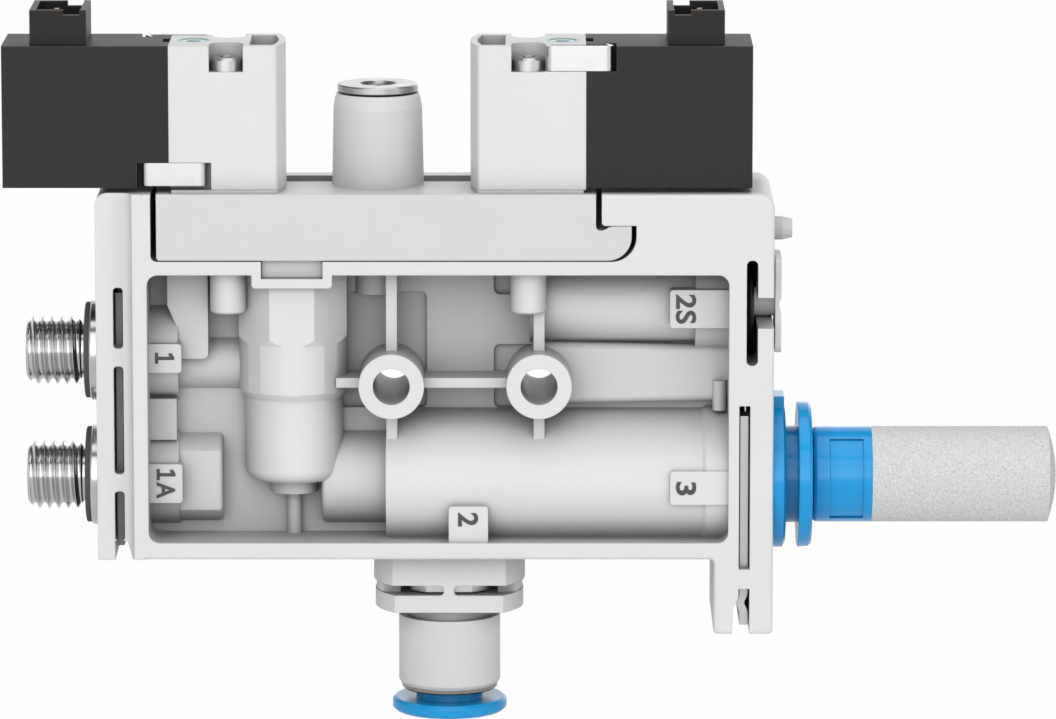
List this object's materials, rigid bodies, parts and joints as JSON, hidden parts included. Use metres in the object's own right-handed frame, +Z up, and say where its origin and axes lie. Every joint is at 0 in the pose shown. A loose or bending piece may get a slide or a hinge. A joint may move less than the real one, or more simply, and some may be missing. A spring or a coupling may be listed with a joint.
{
  "type": "vacuum ejector",
  "caption": "Compact vacuum ejector: flat moulded body with pilot valves on top, threaded supply ports, push-in vacuum port, blue exhaust port and silencer.",
  "frame": {"origin": "midway between the two mounting holes, on the front face", "axes": "+X towards the silencer, +Y into the body from its front face, +Z up"},
  "size_m": [0.1058, 0.0158, 0.0723],
  "materials": {
    "white_resin": "satin moulded",
    "grey_resin": "fine moulded grain",
    "blue_resin": "satin moulded",
    "black_resin": "fine moulded grain",
    "cyan_resin": "satin moulded",
    "teal_resin": "satin moulded",
    "black_nylon": "satin moulded",
    "porous_resin": "sintered, porous",
    "plated_metal": "nickel plate, satin",
    "spring_steel": "bright rolled",
    "brass": "turned",
    "gold_plate": "gold flash",
    "dark_rubber": "matt",
    "black_rubber": "smooth",
    "light_rubber": "matt"
  },
  "bodies": {
    "housing_group": {"housing": "white_resin", "top_cover": "grey_resin", "rear_seal_strip": "dark_rubber", "nipple_1": "plated_metal", "nipple_1a": "plated_metal", "nipple_seal_1": "dark_rubber", "nipple_seal_1a": "dark_rubber", "nipple_o_rings": "black_rubber", "nipple_clip": "spring_steel", "cartridge_clip": "spring_steel", "fitting_clip": "spring_steel", "push_in_body": "grey_resin", "push_in_cap_ring": "plated_metal", "push_in_grip_ring": "spring_steel", "push_in_tube_seal": "black_rubber", "exhaust_cartridge": "blue_resin", "silencer_holder": "blue_resin", "silencer_tube": "porous_resin", "port_2s_plug": "grey_resin", "port_2s_seal": "black_rubber", "jet_nozzle": "brass", "receiver_nozzle": "brass", "check_valve_seat": "brass", "valve_body_left": "white_resin", "valve_body_right": "white_resin", "coil_left": "black_resin", "coil_right": "black_resin", "valve_clips_left": "spring_steel", "valve_clips_right": "spring_steel", "valve_screws_left": "plated_metal", "valve_screws_right": "plated_metal", "override_sleeve_left": "cyan_resin", "override_sleeve_right": "cyan_resin", "end_plug_left": "white_resin", "end_plug_right": "white_resin", "valve_gasket_left": "light_rubber", "valve_gasket_right": "light_rubber", "plug_socket_left": "black_nylon", "plug_socket_right": "black_nylon", "plug_contacts_left": "gold_plate", "plug_contacts_right": "gold_plate"},
    "flow_control": {"flow_control_screw": "grey_resin"},
    "override_left": {"override_button_left": "teal_resin"},
    "override_right": {"override_button_right": "teal_resin"},
    "push_in_release": {"push_in_release_ring": "blue_resin"},
    "exhaust_release": {"exhaust_release_ring": "blue_resin"},
    "check_valve": {"check_valve_disc": "black_rubber"}
  },
  "joints": [
    {"name": "flow_control_turn", "type": "hinge", "parent": "housing_group", "child": "flow_control", "pos_m": [-0.0088, 0.0079, 0.029], "axis": [0, 0, 1], "range_deg": [0, 1080]},
    {"name": "override_press_left", "type": "slide", "parent": "housing_group", "child": "override_left", "axis": [0, 0, -1], "range_m": [0, 0.0006], "stiffness_N_per_m": 1000, "springref_m": -0.0005},
    {"name": "override_press_right", "type": "slide", "parent": "housing_group", "child": "override_right", "axis": [0, 0, -1], "range_m": [0, 0.0006], "stiffness_N_per_m": 1000, "springref_m": -0.0005},
    {"name": "push_in_release_slide", "type": "slide", "parent": "housing_group", "child": "push_in_release", "axis": [0, 0, 1], "range_m": [0, 0.0008]},
    {"name": "exhaust_release_slide", "type": "slide", "parent": "housing_group", "child": "exhaust_release", "axis": [-1, 0, 0], "range_m": [0, 0.0007]},
    {"name": "check_valve_lift", "type": "slide", "parent": "housing_group", "child": "check_valve", "axis": [0, 0, 1], "range_m": [0, 0.0007]}
  ]
}
